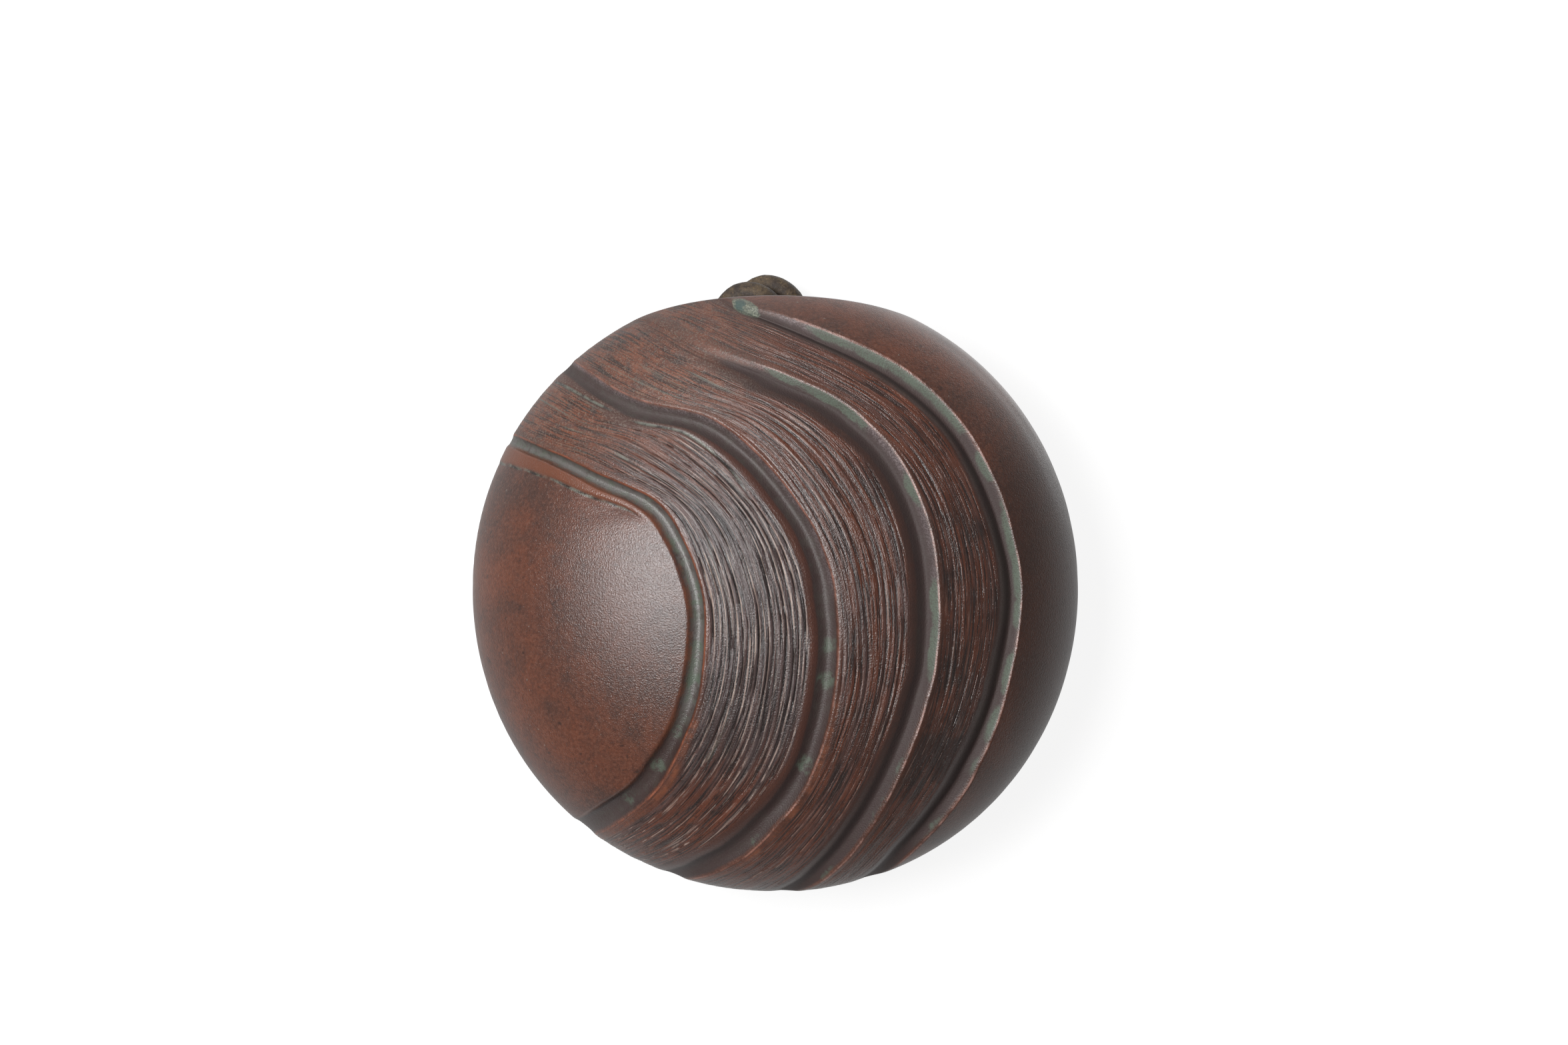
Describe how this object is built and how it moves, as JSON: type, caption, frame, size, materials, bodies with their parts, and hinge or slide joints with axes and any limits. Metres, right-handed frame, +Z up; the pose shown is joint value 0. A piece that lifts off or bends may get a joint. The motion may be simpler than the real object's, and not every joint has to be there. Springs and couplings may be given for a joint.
{
  "type": "wall vase",
  "caption": "Round hand-built wall vase with a carved wave front, a slot mouth and a flat back, hung by a knotted leather cord through a clay strap.",
  "frame": {"origin": "middle of the flat back face that lies on the wall, on the vertical line through the vase's middle", "axes": "+Z up as hung, +Y from the front into the wall, +X to the right as seen from the front"},
  "size_m": [0.1392, 0.0659, 0.1433],
  "materials": {
    "iron_glaze": "satin iron glaze, red-brown with dark clouds, grey-green where it pools",
    "iron_glaze_back": "satin iron glaze, plain",
    "waxed_leather": "antique brown waxed round cord"
  },
  "bodies": {
    "vase": {"front_shell": "iron_glaze", "back_wall": "iron_glaze_back", "cord_lug": "iron_glaze_back"},
    "cord_loop": {"hanging_cord": "waxed_leather"}
  },
  "joints": [
    {"name": "cord_swing", "type": "hinge", "parent": "vase", "child": "cord_loop", "pos_m": [0, -0.00683, 0.0425], "axis": [-1, 0, 0], "range_deg": [-4, 120]}
  ]
}
